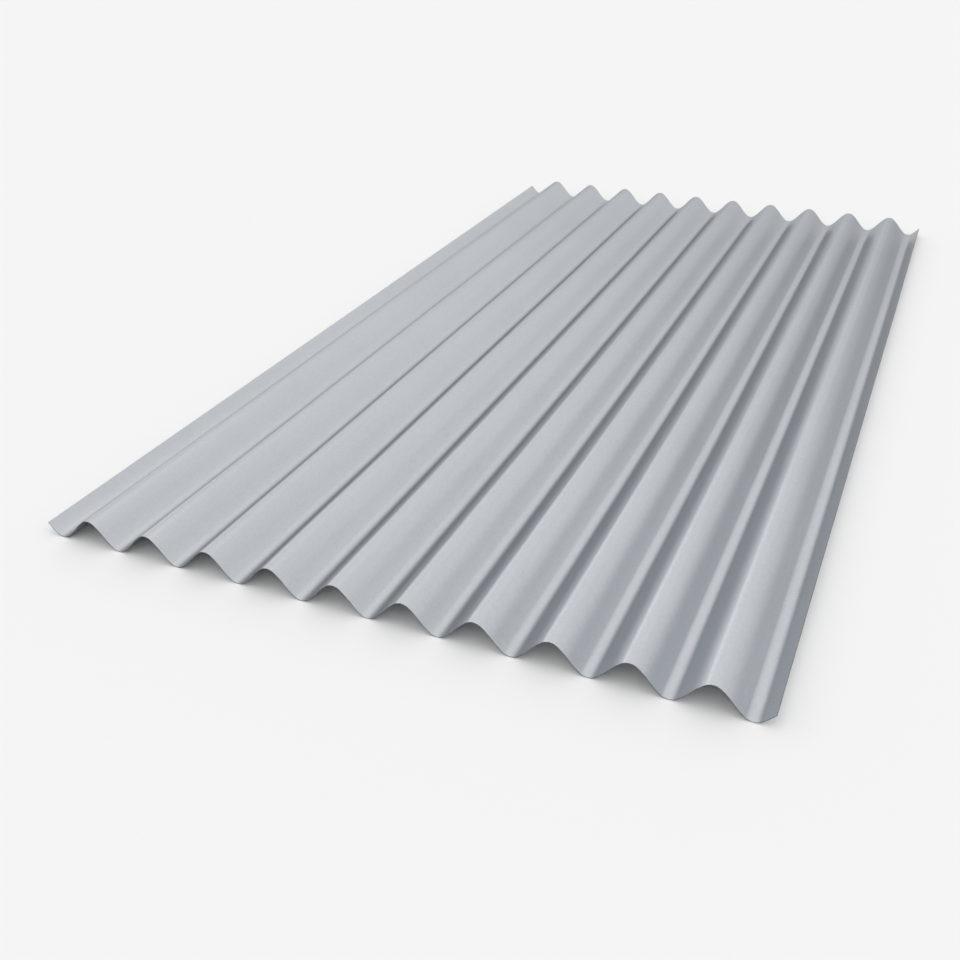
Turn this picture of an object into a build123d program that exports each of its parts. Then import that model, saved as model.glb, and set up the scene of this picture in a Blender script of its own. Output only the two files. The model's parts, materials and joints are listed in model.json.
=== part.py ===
"""Corrugated metal sheet: one roll-formed sheet of coated steel, in millimetres.

The sheet lies on its valleys on the plane Z = 0. Its waves run along Y, X goes across
them, and the origin is under the middle valley, at the middle of the length.
"""

import os
from math import asin, atan2, cos, degrees, hypot, sin

from build123d import *

# Driving dimensions
pitch = 76.2  # crest to crest
depth = 29.4  # underside of a valley to the top of a crest
thickness = 0.6  # coated sheet
bend_radius = 11.7  # inside of every bend
flank_radius = 70.0  # each half of a flank, which curves slightly into its bend
length = 1500.0  # along the waves
whole_waves = 10  # between the two outermost valleys

# The wave's centre line, half-way through the thickness
line_radius = bend_radius + thickness / 2
quarter_pitch = pitch / 4
half_swing = (depth - thickness) / 2

# A quarter wave goes from the middle of a valley up to the middle of a flank. It is an arc
# of the bend and then an arc of the flank, whose centre lies further out on the line
# through the bend's centre and the point where the two arcs meet. The slope at that point,
# bend_angle, is the one that makes the flank's arc end a quarter of a pitch across and
# half the swing up, at the slope flank_angle.
centre_shift = flank_radius - line_radius
rise_past_centre = half_swing - line_radius
reach = hypot(quarter_pitch, rise_past_centre)
lean = (flank_radius**2 - centre_shift**2 - reach**2) / (2 * centre_shift * reach)
bend_angle = atan2(rise_past_centre, quarter_pitch) + asin(lean)
flank_angle = atan2(
    quarter_pitch + centre_shift * sin(bend_angle),
    centre_shift * cos(bend_angle) - rise_past_centre,
)

# From the middle of one flank to the middle of the next, all arcs turn the same way
half_wave_arcs = (
    (flank_radius, flank_angle - bend_angle),
    (line_radius, 2 * bend_angle),
    (flank_radius, flank_angle - bend_angle),
)

# The side edges stop half-way up the flanks outside the two outermost valleys
side_edge = whole_waves * pitch / 2 + quarter_pitch

with BuildPart() as sheet:
    # Section across the waves: the centre line given the sheet's thickness, square at its ends
    with BuildSketch(Plane.XZ):
        with BuildLine():
            place = (-side_edge, depth / 2)
            heading = (cos(flank_angle), -sin(flank_angle))
            for half_wave in range(2 * whole_waves + 1):
                turn = -1 if half_wave % 2 else 1
                for radius, angle in half_wave_arcs:
                    arc = JernArc(place, heading, radius, turn * degrees(angle))
                    place, heading = arc @ 1, arc % 1
        trace(line_width=thickness)
    # Drawn out along the waves, half of the length to each side
    extrude(amount=length / 2, both=True)

sheet.part.label = "corrugated_sheet"
os.makedirs("parts", exist_ok=True)
export_step(sheet.part, "parts/corrugated_sheet.step")
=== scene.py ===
"""Corrugated metal sheet: the fine shape and the finish of one roll-formed sheet, in a plain studio.

The sheet lies on its valleys on the floor. Its waves run along Y, X goes across them and Z is up.
Lengths are in metres and angles in radians, apart from the fields whose names end in _mm or _deg.
"""

import json
import logging
import math
from dataclasses import dataclass, field
from enum import Enum

import bpy
import numpy as np
from mathutils import Matrix, Vector


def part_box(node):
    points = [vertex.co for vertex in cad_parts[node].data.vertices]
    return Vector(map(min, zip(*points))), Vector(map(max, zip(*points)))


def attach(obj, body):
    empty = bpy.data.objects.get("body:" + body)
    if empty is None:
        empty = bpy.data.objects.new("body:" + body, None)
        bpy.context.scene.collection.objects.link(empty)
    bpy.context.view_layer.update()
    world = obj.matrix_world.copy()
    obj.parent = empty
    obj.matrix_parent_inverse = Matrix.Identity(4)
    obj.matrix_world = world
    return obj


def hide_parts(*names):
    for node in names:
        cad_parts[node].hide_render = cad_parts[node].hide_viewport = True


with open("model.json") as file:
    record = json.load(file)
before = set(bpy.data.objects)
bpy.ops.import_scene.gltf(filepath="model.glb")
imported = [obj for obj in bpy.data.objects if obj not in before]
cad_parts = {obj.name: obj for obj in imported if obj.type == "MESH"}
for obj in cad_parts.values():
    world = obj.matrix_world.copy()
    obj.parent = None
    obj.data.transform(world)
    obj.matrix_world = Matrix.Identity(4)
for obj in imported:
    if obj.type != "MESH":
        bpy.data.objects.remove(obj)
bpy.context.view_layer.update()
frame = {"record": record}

NODE = "corrugated_sheet"
BODY = "root"
MILLIMETRE = 0.001
FLAT_MAP = "flat_sheet"

log = logging.getLogger("corrugated_sheet")

Colour = tuple[float, float, float]
Socket = bpy.types.NodeSocket
Sockets = bpy.types.bpy_prop_collection


class Skin(Enum):
    """The kinds of face that the sheet has, in the order of its material slots."""

    WEATHER_FACE = 0
    BACK_FACE = 1
    CUT_EDGE = 2


@dataclass(frozen=True)
class Wave:
    """The sheet's centre line across the waves: round bends, joined by flanks that curve into them.

    A quarter wave is an arc of the bend, up to the slope bend_angle, and then an arc of the flank,
    which ends half-way up at the slope flank_angle. A valley lies under the middle of the sheet.
    """

    pitch: float
    swing: float
    bend_radius: float
    flank_radius: float
    whole_waves: int
    bend_steps: int = 12
    flank_steps: int = 3

    @property
    def bend_angle(self) -> float:
        """Slope where a bend meets its flank, the one at which the flank's arc ends half-way up."""
        shift = self.flank_radius - self.bend_radius
        quarter = self.pitch / 4
        past = self.swing / 2 - self.bend_radius
        reach = math.hypot(quarter, past)
        lean = (self.flank_radius**2 - shift**2 - reach**2) / (2 * shift * reach)
        return math.atan2(past, quarter) + math.asin(lean)

    @property
    def flank_angle(self) -> float:
        """Slope at the middle of a flank."""
        shift = self.flank_radius - self.bend_radius
        run = self.pitch / 4 + shift * math.sin(self.bend_angle)
        drop = self.bend_radius + shift * math.cos(self.bend_angle) - self.swing / 2
        return math.atan2(run, drop)

    def half_wave(self) -> tuple[np.ndarray, np.ndarray, np.ndarray]:
        """Follow a valley from the middle of one flank to the middle of the next.

        Returns:
            Distances from the valley's middle, heights above it, and slopes in radians.
        """
        bend, flank = self.bend_angle, self.flank_angle
        falling = np.linspace(-flank, -bend, self.flank_steps + 1)
        round_bottom = np.linspace(-bend, bend, self.bend_steps + 1)
        rising = np.linspace(bend, flank, self.flank_steps + 1)
        slope = np.concatenate((falling[:-1], round_bottom, rising[1:]))
        in_bend = np.clip(slope, -bend, bend)
        run = self.bend_radius * np.sin(in_bend)
        run += self.flank_radius * (np.sin(slope) - np.sin(in_bend))
        rise = self.bend_radius * (1 - np.cos(in_bend))
        rise += self.flank_radius * (np.cos(in_bend) - np.cos(slope))
        return run, rise, slope

    def line(self) -> tuple[np.ndarray, np.ndarray, np.ndarray]:
        """Follow the centre line from one side edge to the other.

        Returns:
            Distances from the middle of the sheet, heights above the valleys, and slopes in radians.
        """
        run, rise, slope = self.half_wave()
        pieces = []
        for number in range(2 * self.whole_waves + 1):
            middle = (number - self.whole_waves) * self.pitch / 2
            is_crest = number % 2 == 1
            height = self.swing - rise if is_crest else rise
            piece = np.stack((middle + run, height, -slope if is_crest else slope))
            pieces.append(piece[:, 1:] if number else piece)
        across, height, slope = np.concatenate(pieces, axis=1)
        return across, height, slope


@dataclass(frozen=True)
class Ripple:
    """A gentle unevenness of rolled sheet: a sum of long, low waves of seeded size and phase."""

    amplitude: float
    shortest_along: float
    longest_along: float
    shortest_across: float
    longest_across: float
    count: int
    seed: int

    def at(self, across: np.ndarray, along: np.ndarray) -> np.ndarray:
        """Give the unevenness at points of the sheet laid flat.

        Args:
            across: Distances across the flat sheet, as one row.
            along: Distances along it, as one column.

        Returns:
            A grid of offsets, most of them smaller than the amplitude.
        """
        draw = np.random.default_rng(self.seed)
        total = np.zeros(np.broadcast(across, along).shape)
        for _ in range(self.count):
            along_length = draw.uniform(self.shortest_along, self.longest_along)
            across_length = draw.uniform(self.shortest_across, self.longest_across)
            sign = draw.choice((-1.0, 1.0))
            phase = draw.uniform(0.0, math.tau)
            turns = along / along_length + sign * across / across_length
            total += np.sin(math.tau * turns + phase)
        return self.amplitude * total / math.sqrt(self.count)


class NodeTree:
    """A shader tree that is being wired up, with short ways to add and join its nodes."""

    def __init__(self, tree: bpy.types.NodeTree) -> None:
        """Take over a tree.

        Args:
            tree: The tree of a material, a world or a group.
        """
        self.tree = tree

    def add(self, kind: str, **settings: object) -> bpy.types.Node:
        """Add a node.

        Args:
            kind: Blender's name of the node type, less its ShaderNode.
            settings: Attributes to set on the node.

        Returns:
            The new node.
        """
        node = self.tree.nodes.new("ShaderNode" + kind)
        for name, value in settings.items():
            setattr(node, name, value)
        return node

    def feed(self, socket: Socket, value: object) -> None:
        """Give an input its value.

        Args:
            socket: The input.
            value: An output to link to it, or a plain value to set.
        """
        if isinstance(value, Socket):
            self.tree.links.new(value, socket)
        else:
            socket.default_value = value

    def maths(self, operation: str, first: object, second: object) -> Socket:
        """Work out a number from two others.

        Args:
            operation: The Math node's operation.
            first: An output or a number.
            second: An output or a number.

        Returns:
            The output that holds the result.
        """
        node = self.add("Math", operation=operation)
        self.feed(node.inputs[0], first)
        self.feed(node.inputs[1], second)
        return node.outputs[0]

    def vectors(self, operation: str, first: object, second: object) -> bpy.types.Node:
        """Work out a vector, or a number, from two vectors.

        Args:
            operation: The Vector Math node's operation.
            first: An output or a vector.
            second: An output, a vector, or the factor of a SCALE.

        Returns:
            The node, for its Vector or its Value output.
        """
        node = self.add("VectorMath", operation=operation)
        self.feed(node.inputs[0], first)
        self.feed(node.inputs["Scale" if operation == "SCALE" else 1], second)
        return node

    def ramp(self, value: Socket, low: float, high: float, start: float, end: float) -> Socket:
        """Carry a number smoothly from one range to another.

        Args:
            value: The number's output.
            low: Where the range that it comes from starts.
            high: Where that range ends.
            start: What low becomes.
            end: What high becomes.

        Returns:
            The output that holds the carried number.
        """
        node = self.add("MapRange", interpolation_type="SMOOTHSTEP")
        for socket, given in zip(node.inputs, (value, low, high, start, end)):
            self.feed(socket, given)
        return node.outputs["Result"]

    def lay(self, share: Socket, under: Socket | Colour, over: Colour) -> Socket:
        """Lay one colour over another.

        Args:
            share: How much of the upper one shows.
            under: The lower colour.
            over: The upper colour.

        Returns:
            The output that holds the mixed colour.
        """
        node = self.add("Mix", data_type="RGBA")
        self.feed(node.inputs["Factor"], share)
        for name, colour in (("A", under), ("B", over)):
            socket = next(s for s in node.inputs if s.name == name and s.type == "RGBA")
            self.feed(socket, (*colour, 1.0) if isinstance(colour, tuple) else colour)
        return next(s for s in node.outputs if s.type == "RGBA")


class EffectGroup:
    """A shader effect that several finishes share, built once as a node group."""

    name: str = "effect"
    inputs: tuple[tuple[str, str], ...] = ()
    outputs: tuple[tuple[str, str], ...] = ()

    def tree(self) -> bpy.types.NodeTree:
        """Build the group, or find it if it is there.

        Returns:
            The node group.
        """
        if self.name in bpy.data.node_groups:
            return bpy.data.node_groups[self.name]
        group = bpy.data.node_groups.new(self.name, "ShaderNodeTree")
        for label, kind in self.inputs:
            group.interface.new_socket(label, in_out="INPUT", socket_type="NodeSocket" + kind)
        for label, kind in self.outputs:
            group.interface.new_socket(label, in_out="OUTPUT", socket_type="NodeSocket" + kind)
        nodes = NodeTree(group)
        given = nodes.tree.nodes.new("NodeGroupInput").outputs
        result = nodes.tree.nodes.new("NodeGroupOutput").inputs
        for label, socket in self.wire(nodes, given).items():
            nodes.feed(result[label], socket)
        return group

    def wire(self, nodes: NodeTree, given: Sockets) -> dict[str, Socket]:
        """Wire up the effect.

        Args:
            nodes: The group's tree.
            given: The group's inputs.

        Returns:
            The socket for each of the group's outputs.
        """
        raise NotImplementedError

    def place(self, nodes: NodeTree, **values: object) -> Sockets:
        """Put the group in a material.

        Args:
            nodes: The material's tree.
            values: What each input gets, with spaces in its name written as underscores.

        Returns:
            The group's outputs.
        """
        node = nodes.add("Group", node_tree=self.tree())
        for label, value in values.items():
            nodes.feed(node.inputs[label.replace("_", " ")], value)
        return node.outputs


class Spangle(EffectGroup):
    """The crystals of a hot-dip coating: each has its own tone and its own slight tilt."""

    name = "coating_spangle"
    inputs = (("Place", "Vector"), ("Crystals per Metre", "Float"), ("Feathering", "Float"))
    outputs = (("Tone", "Float"), ("Facet", "Float"))
    feathers_per_crystal = 2.2
    middle_colour = (0.5, 0.5, 0.5)

    def wire(self, nodes: NodeTree, given: Sockets) -> dict[str, Socket]:
        """Wire up the effect, as in EffectGroup."""
        place = nodes.vectors("SCALE", given["Place"], given["Crystals per Metre"]).outputs["Vector"]
        feather = nodes.add("TexNoise", noise_dimensions="2D")
        nodes.feed(feather.inputs["Vector"], place)
        nodes.feed(feather.inputs["Scale"], self.feathers_per_crystal)
        centred = nodes.vectors("SUBTRACT", feather.outputs["Color"], self.middle_colour)
        ragged = nodes.vectors("SCALE", centred.outputs["Vector"], given["Feathering"]).outputs["Vector"]
        spread = nodes.vectors("ADD", place, ragged).outputs["Vector"]
        cells = nodes.add("TexVoronoi", voronoi_dimensions="2D", feature="F1")
        nodes.feed(cells.inputs["Vector"], spread)
        nodes.feed(cells.inputs["Scale"], 1.0)
        within = nodes.vectors("SUBTRACT", spread, cells.outputs["Position"]).outputs["Vector"]
        lean = nodes.vectors("SUBTRACT", cells.outputs["Color"], self.middle_colour)
        facet = nodes.vectors("DOT_PRODUCT", within, lean.outputs["Vector"]).outputs["Value"]
        parts = nodes.add("SeparateColor")
        nodes.feed(parts.inputs[0], cells.outputs["Color"])
        return {
            "Tone": parts.outputs["Blue"],
            "Facet": nodes.maths("DIVIDE", facet, given["Crystals per Metre"]),
        }


class RollingGrain(EffectGroup):
    """What the rolls leave behind: fine streaks along the sheet, and slow drifts of brightness."""

    name = "rolling_grain"
    inputs = (("Place", "Vector"), ("Streaks per Metre", "Float"), ("Streak Length", "Float"))
    outputs = (("Streak", "Float"), ("Drift", "Float"))
    drifts_per_metre = 5.0
    streak_detail = 4.0

    def wire(self, nodes: NodeTree, given: Sockets) -> dict[str, Socket]:
        """Wire up the effect, as in EffectGroup."""
        parts = nodes.add("SeparateXYZ")
        nodes.feed(parts.inputs[0], given["Place"])
        across = nodes.maths("MULTIPLY", parts.outputs["X"], given["Streaks per Metre"])
        along = nodes.maths("DIVIDE", parts.outputs["Y"], given["Streak Length"])
        drawn_out = nodes.add("CombineXYZ")
        nodes.feed(drawn_out.inputs["X"], across)
        nodes.feed(drawn_out.inputs["Y"], along)
        streak = nodes.add("TexNoise", noise_dimensions="2D")
        nodes.feed(streak.inputs["Vector"], drawn_out.outputs[0])
        nodes.feed(streak.inputs["Scale"], 1.0)
        nodes.feed(streak.inputs["Detail"], self.streak_detail)
        drift = nodes.add("TexNoise", noise_dimensions="2D")
        nodes.feed(drift.inputs["Vector"], given["Place"])
        nodes.feed(drift.inputs["Scale"], self.drifts_per_metre)
        return {"Streak": streak.outputs[0], "Drift": drift.outputs[0]}


class HandlingMarks(EffectGroup):
    """What carrying and storing leave: fine scuffs along the sheet, and specks of settled dust."""

    name = "handling_marks"
    inputs = (("Place", "Vector"), ("Scuff Cover", "Float"), ("Speck Cover", "Float"))
    outputs = (("Scuff", "Float"), ("Speck", "Float"))
    scuffs_per_metre = (260.0, 14.0, 1.0)  # across, along, and the flat map's idle third axis
    patches_per_metre = 9.0
    specks_per_metre = 420.0
    softness = 0.08

    def wire(self, nodes: NodeTree, given: Sockets) -> dict[str, Socket]:
        """Wire up the effect, as in EffectGroup."""
        drawn_out = nodes.vectors("MULTIPLY", given["Place"], self.scuffs_per_metre)
        lines = nodes.add("TexNoise", noise_dimensions="2D")
        nodes.feed(lines.inputs["Vector"], drawn_out.outputs["Vector"])
        nodes.feed(lines.inputs["Scale"], 1.0)
        patches = nodes.add("TexNoise", noise_dimensions="2D")
        nodes.feed(patches.inputs["Vector"], given["Place"])
        nodes.feed(patches.inputs["Scale"], self.patches_per_metre)
        worn = nodes.maths("MULTIPLY", lines.outputs[0], patches.outputs[0])
        specks = nodes.add("TexVoronoi", voronoi_dimensions="2D", feature="F1")
        nodes.feed(specks.inputs["Vector"], given["Place"])
        nodes.feed(specks.inputs["Scale"], self.specks_per_metre)
        nearness = nodes.maths("SUBTRACT", 1.0, specks.outputs["Distance"])
        return {
            "Scuff": self.above(nodes, worn, given["Scuff Cover"]),
            "Speck": self.above(nodes, nearness, given["Speck Cover"]),
        }

    def above(self, nodes: NodeTree, value: Socket, cover: Socket) -> Socket:
        """Keep the highest part of a pattern, with soft rims.

        Args:
            nodes: The group's tree.
            value: The pattern, from 0 to 1.
            cover: How much of its range is kept.

        Returns:
            The mask.
        """
        over = nodes.maths("ADD", nodes.maths("SUBTRACT", value, 1.0), cover)
        return nodes.ramp(over, 0.0, self.softness, 0.0, 1.0)


@dataclass(frozen=True)
class CoatedFinish:
    """A hot-dip zinc and aluminium coating: pale, satin, finely spangled and clean."""

    name: str
    bright: Colour
    dull: Colour
    dust: Colour
    roughness: float
    roughness_swing: float
    edge_tint: Colour
    crystals_per_metre: float
    crystal_tilt: float
    streak_share: float
    scuff_share: float
    speck_share: float
    dullest_tone: float = 0.3
    brightest_tone: float = 1.9
    feathering: float = 0.9
    streaks_per_metre: float = 320.0
    streak_length: float = 0.35
    scuff_cover: float = 0.58
    speck_cover: float = 0.06

    def material(self) -> bpy.types.Material:
        """Make the material.

        Returns:
            The new material.
        """
        made = bpy.data.materials.new(self.name)
        made.use_nodes = True
        nodes = NodeTree(made.node_tree)
        shader = made.node_tree.nodes["Principled BSDF"]
        flat = nodes.add("UVMap", uv_map=FLAT_MAP).outputs["UV"]
        spangle = Spangle().place(
            nodes,
            Place=flat,
            Crystals_per_Metre=self.crystals_per_metre,
            Feathering=self.feathering,
        )
        grain = RollingGrain().place(
            nodes,
            Place=flat,
            Streaks_per_Metre=self.streaks_per_metre,
            Streak_Length=self.streak_length,
        )
        marks = HandlingMarks().place(
            nodes,
            Place=flat,
            Scuff_Cover=self.scuff_cover,
            Speck_Cover=self.speck_cover,
        )

        # Bright crystals, streaks and drifts are paler and shine a little more
        streaks = nodes.maths("MULTIPLY", grain["Streak"], self.streak_share)
        tone = nodes.maths("ADD", spangle["Tone"], streaks)
        tone = nodes.maths("ADD", tone, grain["Drift"])
        paleness = nodes.ramp(tone, self.dullest_tone, self.brightest_tone, 0.0, 1.0)
        colour = nodes.lay(paleness, self.dull, self.bright)
        dusty = nodes.maths("MULTIPLY", marks["Speck"], self.speck_share)
        nodes.feed(shader.inputs["Base Color"], nodes.lay(dusty, colour, self.dust))

        roughest = self.roughness + self.roughness_swing
        smoothest = self.roughness - self.roughness_swing
        shine = nodes.ramp(tone, self.dullest_tone, self.brightest_tone, roughest, smoothest)
        scuffed = nodes.maths("MULTIPLY", marks["Scuff"], self.scuff_share)
        nodes.feed(shader.inputs["Roughness"], nodes.maths("ADD", shine, scuffed))
        shader.inputs["Metallic"].default_value = 1.0
        shader.inputs["Specular Tint"].default_value = (*self.edge_tint, 1.0)

        bump = nodes.add("Bump")
        nodes.feed(bump.inputs["Distance"], self.crystal_tilt)
        nodes.feed(bump.inputs["Height"], spangle["Facet"])
        nodes.feed(shader.inputs["Normal"], bump.outputs["Normal"])
        return made


@dataclass(frozen=True)
class ShearedFinish:
    """A sheared edge: bare steel, burnished in some places and torn in others."""

    name: str
    steel: Colour
    torn: Colour
    roughness: float
    torn_roughness: float
    tear_starts: float = 0.35
    tear_ends: float = 0.65
    streaks_per_metre: float = 900.0
    streak_length: float = 4.0 * MILLIMETRE

    def material(self) -> bpy.types.Material:
        """Make the material.

        Returns:
            The new material.
        """
        made = bpy.data.materials.new(self.name)
        made.use_nodes = True
        nodes = NodeTree(made.node_tree)
        shader = made.node_tree.nodes["Principled BSDF"]
        flat = nodes.add("UVMap", uv_map=FLAT_MAP).outputs["UV"]
        grain = RollingGrain().place(
            nodes,
            Place=flat,
            Streaks_per_Metre=self.streaks_per_metre,
            Streak_Length=self.streak_length,
        )
        tear = nodes.ramp(grain["Streak"], self.tear_starts, self.tear_ends, 0.0, 1.0)
        nodes.feed(shader.inputs["Base Color"], nodes.lay(tear, self.steel, self.torn))
        shine = nodes.ramp(tear, 0.0, 1.0, self.roughness, self.torn_roughness)
        nodes.feed(shader.inputs["Roughness"], shine)
        shader.inputs["Metallic"].default_value = 1.0
        return made


@dataclass
class CorrugatedSheet:
    """The sheet itself: the frame gives its overall sizes, and its radii and fine shape are set here."""

    pitch: float
    depth: float
    thickness: float
    length: float
    whole_waves: int
    bend_radius: float = 11.7 * MILLIMETRE
    flank_radius: float = 70.0 * MILLIMETRE
    row_count: int = 96
    end_row: float = 1.5 * MILLIMETRE
    edge_roll: float = 0.12 * MILLIMETRE
    back_edge_roll: float = 0.06 * MILLIMETRE
    buckle: Ripple = Ripple(
        amplitude=0.10 * MILLIMETRE,
        shortest_along=0.16,
        longest_along=0.55,
        shortest_across=0.05,
        longest_across=0.30,
        count=14,
        seed=7,
    )
    stray: Ripple = Ripple(
        amplitude=0.16 * MILLIMETRE,
        shortest_along=0.45,
        longest_along=1.6,
        shortest_across=0.25,
        longest_across=0.9,
        count=8,
        seed=21,
    )
    finishes: dict[Skin, CoatedFinish | ShearedFinish] = field(default_factory=dict)

    @classmethod
    def from_frame(cls) -> "CorrugatedSheet":
        """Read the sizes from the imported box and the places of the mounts.

        Returns:
            The sheet.
        """
        low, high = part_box(NODE)
        places = {m["name"]: m["pos_m"] for m in frame["record"]["mounts"]}
        pitch = 2 * places["crest_fixing"][0]
        outer_valley = places["right_lap"][0]
        return cls(
            pitch=pitch,
            depth=high.z - low.z,
            thickness=2 * places["front_end"][2],
            length=high.y - low.y,
            whole_waves=round(2 * outer_valley / pitch),
        )

    @property
    def wave(self) -> Wave:
        """The centre line across the waves."""
        return Wave(
            pitch=self.pitch,
            swing=self.depth - self.thickness,
            bend_radius=self.bend_radius + self.thickness / 2,
            flank_radius=self.flank_radius,
            whole_waves=self.whole_waves,
        )

    def build(self) -> bpy.types.Object:
        """Build the sheet as one closed mesh, and put it in place of its plain solid.

        Returns:
            The new object.
        """
        across, height, slope = self.wave.line()
        half = self.length / 2
        inner = np.linspace(self.end_row - half, half - self.end_row, self.row_count - 1)
        along = np.concatenate(([-half], inner, [half]))
        gaps = np.hypot(np.diff(across), np.diff(height))
        flat = np.concatenate(([0.0], np.cumsum(gaps)))
        flat -= flat[-1] / 2

        lines = (across, height + self.thickness / 2, slope)
        layers = self.layers(lines, flat, along)
        mesh = self.join(layers, flat, along)
        piece = bpy.data.objects.new("sheet", mesh)
        bpy.context.scene.collection.objects.link(piece)
        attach(piece, BODY)
        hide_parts(NODE)
        return piece

    def layers(
        self, lines: tuple[np.ndarray, ...], flat: np.ndarray, along: np.ndarray
    ) -> list[np.ndarray]:
        """Place the points of the sheet's two faces and of the two lines round its cut edge.

        Args:
            lines: Distances across, heights and slopes of the centre line.
            flat: Distances across the sheet laid flat.
            along: Distances along it.

        Returns:
            Four grids of points, for the weather face, the edge's upper line, its lower line and
            the back face.
        """
        across, height, slope = lines
        # The buckles grow with the height above the valleys, which stay on the floor
        level = (height - self.thickness / 2) / (self.depth - self.thickness)
        bulge = self.buckle.at(flat[None, :], along[:, None]) * level[None, :]
        drift = self.stray.at(flat[None, :], along[:, None])
        half = self.thickness / 2
        lifts_and_insets = (
            (half, self.edge_roll),
            (half - self.edge_roll, 0.0),
            (self.edge_roll - half, 0.0),
            (-half, self.back_edge_roll),
        )
        grids = []
        for lift, inset in lifts_and_insets:
            rise = lift + bulge
            x = across[None, :] - np.sin(slope)[None, :] * rise + drift
            z = height[None, :] + np.cos(slope)[None, :] * rise
            y = np.broadcast_to(along[:, None], x.shape).copy()
            y[0] += inset
            y[-1] -= inset
            for column, inward in ((0, 1.0), (-1, -1.0)):
                x[:, column] += inward * inset * math.cos(slope[column])
                z[:, column] += inward * inset * math.sin(slope[column])
            grids.append(np.stack((x, y, z), axis=-1))
        return grids

    def join(self, layers: list[np.ndarray], flat: np.ndarray, along: np.ndarray) -> bpy.types.Mesh:
        """Join the grids of points into one closed mesh.

        Args:
            layers: The grids from layers().
            flat: Distances across the sheet laid flat.
            along: Distances along it.

        Returns:
            The mesh, with its flat map, its kinds of face and its edge kept sharp.
        """
        rows, columns = layers[0].shape[:2]
        numbers = np.arange(rows * columns).reshape(rows, columns)
        sides = (numbers[0, :-1], numbers[:-1, -1], numbers[-1, :0:-1], numbers[:0:-1, 0])
        rim = np.concatenate(sides)
        per_layer = rows * columns

        corners = (numbers[:-1, :-1], numbers[:-1, 1:], numbers[1:, 1:], numbers[1:, :-1])
        top = np.stack(corners, axis=-1).reshape(-1, len(corners))
        below = top[:, ::-1] + (len(layers) - 1) * per_layer
        parts = [top, below]
        skins = [np.full(len(top), Skin.WEATHER_FACE.value), np.full(len(below), Skin.BACK_FACE.value)]
        after = np.roll(rim, -1)
        for upper in range(len(layers) - 1):
            above, under = upper * per_layer, (upper + 1) * per_layer
            strip = np.stack((rim + above, rim + under, after + under, after + above), axis=-1)
            parts.append(strip)
            skins.append(np.full(len(strip), Skin.CUT_EDGE.value))

        points = np.concatenate([grid.reshape(-1, 3) for grid in layers])
        flat_grid = np.broadcast_arrays(flat[None, :], along[:, None])
        flat_points = np.stack(flat_grid, axis=-1).reshape(-1, len(flat_grid))
        faces = np.concatenate(parts)
        # The two edge lines are whole grids of points too, and only those on the rim are used
        used, renumbered = np.unique(faces, return_inverse=True)
        mesh = bpy.data.meshes.new("sheet")
        mesh.from_pydata(points[used].tolist(), [], renumbered.reshape(faces.shape).tolist())
        mesh.polygons.foreach_set("material_index", np.concatenate(skins))
        mesh.polygons.foreach_set("use_smooth", np.ones(len(faces), dtype=bool))
        flat_map = mesh.uv_layers.new(name=FLAT_MAP)
        flat_map.uv.foreach_set("vector", flat_points[faces.ravel() % per_layer].ravel())

        on_rim = np.isin(used % per_layer, rim)
        ends = np.empty(2 * len(mesh.edges), dtype=np.int32)
        mesh.edges.foreach_get("vertices", ends)
        sharp = mesh.attributes.new("sharp_edge", "BOOLEAN", "EDGE")
        sharp.data.foreach_set("value", on_rim[ends].reshape(-1, 2).all(axis=1))
        mesh.update()
        return mesh

    def dress(self, piece: bpy.types.Object) -> None:
        """Give each kind of face its finish.

        Args:
            piece: The sheet's object.
        """
        for skin in Skin:
            piece.data.materials.append(self.finishes[skin].material())


@dataclass(frozen=True)
class SoftLamp:
    """A wide, far lamp, given by where it stands in the room as seen from the sheet."""

    name: str
    azimuth_deg: float
    height_deg: float
    strength: float
    spread_deg: float = 36.0

    def hang(self) -> None:
        """Hang the lamp in the studio. Azimuth 0 is along +Y and 90 is along +X."""
        data = bpy.data.lights.new(self.name, "SUN")
        data.angle = math.radians(self.spread_deg)
        data.energy = self.strength
        lamp = bpy.data.objects.new(self.name, data)
        azimuth, height = math.radians(self.azimuth_deg), math.radians(self.height_deg)
        level = math.cos(height)
        towards = Vector((math.sin(azimuth) * level, math.cos(azimuth) * level, math.sin(height)))
        lamp.rotation_euler = towards.to_track_quat("Z", "Y").to_euler()
        bpy.context.scene.collection.objects.link(lamp)


@dataclass(frozen=True)
class LampRow:
    """A row of like lamps at one height, side by side, which together make a broad band of light."""

    name: str
    first_deg: float
    last_deg: float
    count: int
    height_deg: float
    strength: float

    def hang(self) -> None:
        """Hang the row's lamps, evenly spaced from the first azimuth to the last."""
        for number, azimuth in enumerate(np.linspace(self.first_deg, self.last_deg, self.count)):
            lamp = SoftLamp(f"{self.name}_{number}", azimuth, self.height_deg, self.strength)
            lamp.hang()


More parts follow.
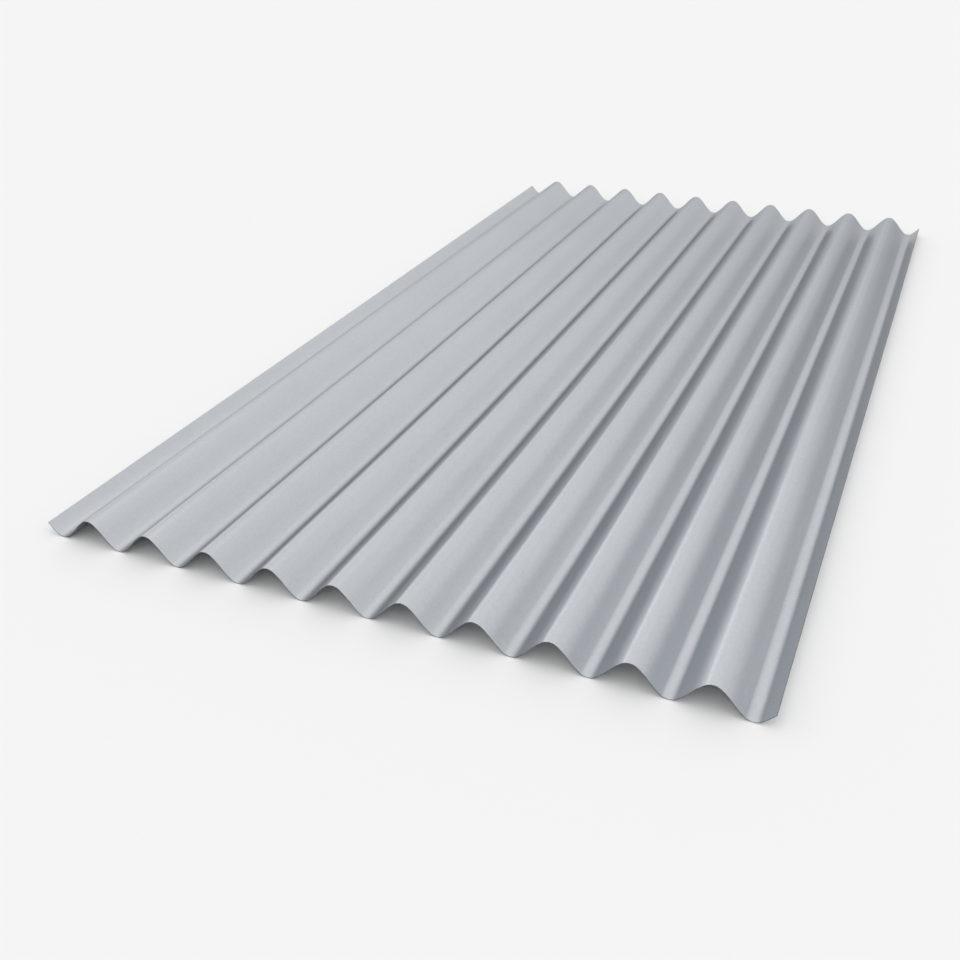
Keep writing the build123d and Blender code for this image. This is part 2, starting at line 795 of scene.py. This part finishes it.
@dataclass(frozen=True)
class Studio:
    """A plain pale floor, an even room and its lamps."""

    floor_half: float = 30.0
    floor_colour: Colour = (0.88, 0.88, 0.88)
    floor_roughness: float = 0.9
    floor_gloss: float = 0.0
    room_colour: Colour = (1.0, 1.0, 1.0)
    room_strength: float = 0.58
    backdrop_strength: float = 0.91
    lamps: tuple[SoftLamp | LampRow, ...] = ()

    def build(self) -> None:
        """Build the studio."""
        self.lay_floor()
        self.light_room()
        for lamp in self.lamps:
            lamp.hang()
        bpy.context.scene.view_settings.view_transform = "Standard"

    def lay_floor(self) -> None:
        """Lay the floor under the sheet."""
        mesh = bpy.data.meshes.new("floor")
        half = self.floor_half
        corners = [(-half, -half, 0.0), (half, -half, 0.0), (half, half, 0.0), (-half, half, 0.0)]
        mesh.from_pydata(corners, [], [(0, 1, 2, 3)])
        made = bpy.data.materials.new("floor")
        made.use_nodes = True
        shader = made.node_tree.nodes["Principled BSDF"]
        shader.inputs["Base Color"].default_value = (*self.floor_colour, 1.0)
        shader.inputs["Roughness"].default_value = self.floor_roughness
        shader.inputs["Specular IOR Level"].default_value = self.floor_gloss
        mesh.materials.append(made)
        floor = bpy.data.objects.new("floor", mesh)
        bpy.context.scene.collection.objects.link(floor)

    def light_room(self) -> None:
        """Light the room evenly, and hang a backdrop, as pale as the lit floor, for the camera alone."""
        world = bpy.data.worlds.new("room")
        world.use_nodes = True
        nodes = NodeTree(world.node_tree)
        room = world.node_tree.nodes["Background"]
        backdrop = nodes.add("Background")
        for node, strength in ((room, self.room_strength), (backdrop, self.backdrop_strength)):
            nodes.feed(node.inputs["Color"], (*self.room_colour, 1.0))
            nodes.feed(node.inputs["Strength"], strength)
        seen = nodes.add("MixShader")
        nodes.feed(seen.inputs[0], nodes.add("LightPath").outputs["Is Camera Ray"])
        nodes.feed(seen.inputs[1], room.outputs[0])
        nodes.feed(seen.inputs[2], backdrop.outputs[0])
        nodes.feed(world.node_tree.nodes["World Output"].inputs["Surface"], seen.outputs[0])
        bpy.context.scene.world = world


@dataclass(frozen=True)
class Viewpoint:
    """The camera, standing in front and to the right, and looking down along the waves.

    A camera that isn't turned looks straight down, and level_deg tilts it up to look level.
    """

    place: tuple[float, float, float] = (0.4551, -1.5205, 0.6695)
    heading_deg: float = -23.39
    downward_deg: float = 29.93
    roll_deg: float = -0.19
    level_deg: float = 90.0
    lens_mm: float = 41.73
    sensor_mm: float = 36.0

    def set_up(self) -> None:
        """Set the camera up and make it the scene's own."""
        data = bpy.data.cameras.new("camera")
        data.lens = self.lens_mm
        data.sensor_width = self.sensor_mm
        camera = bpy.data.objects.new("camera", data)
        turn = (
            Matrix.Rotation(math.radians(-self.heading_deg), 4, "Z")
            @ Matrix.Rotation(math.radians(self.level_deg - self.downward_deg), 4, "X")
            @ Matrix.Rotation(math.radians(self.roll_deg), 4, "Z")
        )
        camera.matrix_world = Matrix.Translation(self.place) @ turn
        bpy.context.scene.collection.objects.link(camera)
        bpy.context.scene.camera = camera


WEATHER_FACE = CoatedFinish(
    name="weather_face",
    bright=(0.636, 0.662, 0.697),
    dull=(0.601, 0.626, 0.659),
    dust=(0.74, 0.74, 0.73),
    roughness=0.40,
    roughness_swing=0.02,
    edge_tint=(0.27, 0.27, 0.27),
    crystals_per_metre=420.0,
    crystal_tilt=0.01,
    streak_share=0.6,
    scuff_share=0.06,
    speck_share=0.25,
)

BACK_FACE = CoatedFinish(
    name="back_face",
    bright=(0.624, 0.640, 0.662),
    dull=(0.546, 0.559, 0.578),
    dust=(0.65, 0.64, 0.61),
    roughness=0.46,
    roughness_swing=0.05,
    edge_tint=(0.27, 0.27, 0.27),
    crystals_per_metre=420.0,
    crystal_tilt=0.02,
    streak_share=0.9,
    scuff_share=0.08,
    speck_share=0.25,
)

CUT_EDGE = ShearedFinish(
    name="cut_edge",
    steel=(0.22, 0.22, 0.23),
    torn=(0.10, 0.10, 0.105),
    roughness=0.45,
    torn_roughness=0.65,
)

STUDIO = Studio(
    lamps=(
        LampRow("low_back", -60.0, 0.0, count=4, height_deg=10.0, strength=0.16),
        LampRow("low_right", 20.0, 40.0, count=2, height_deg=10.0, strength=0.08),
        LampRow("high_back", -30.0, 30.0, count=3, height_deg=42.0, strength=0.06),
        LampRow("high_front", 120.0, 240.0, count=5, height_deg=42.0, strength=0.12),
        SoftLamp("left_fill", azimuth_deg=-90.0, height_deg=20.0, strength=0.25),
        SoftLamp("right_fill", azimuth_deg=90.0, height_deg=48.0, strength=0.25),
        SoftLamp("overhead", azimuth_deg=0.0, height_deg=90.0, strength=0.50, spread_deg=60.0),
    ),
)


def main() -> None:
    """Build the sheet, the studio and the camera, in that order."""
    logging.basicConfig(level=logging.INFO, format="%(name)s: %(message)s")
    sheet = CorrugatedSheet.from_frame()
    sheet.finishes = {
        Skin.WEATHER_FACE: WEATHER_FACE,
        Skin.BACK_FACE: BACK_FACE,
        Skin.CUT_EDGE: CUT_EDGE,
    }
    piece = sheet.build()
    sheet.dress(piece)
    faces = len(piece.data.polygons)
    log.info("%s: %d faces, pitch %.4f m, depth %.4f m", piece.name, faces, sheet.pitch, sheet.depth)
    STUDIO.build()
    log.info("studio: %d lamps and rows of lamps", len(STUDIO.lamps))
    Viewpoint().set_up()


if __name__ == "__main__":
    main()
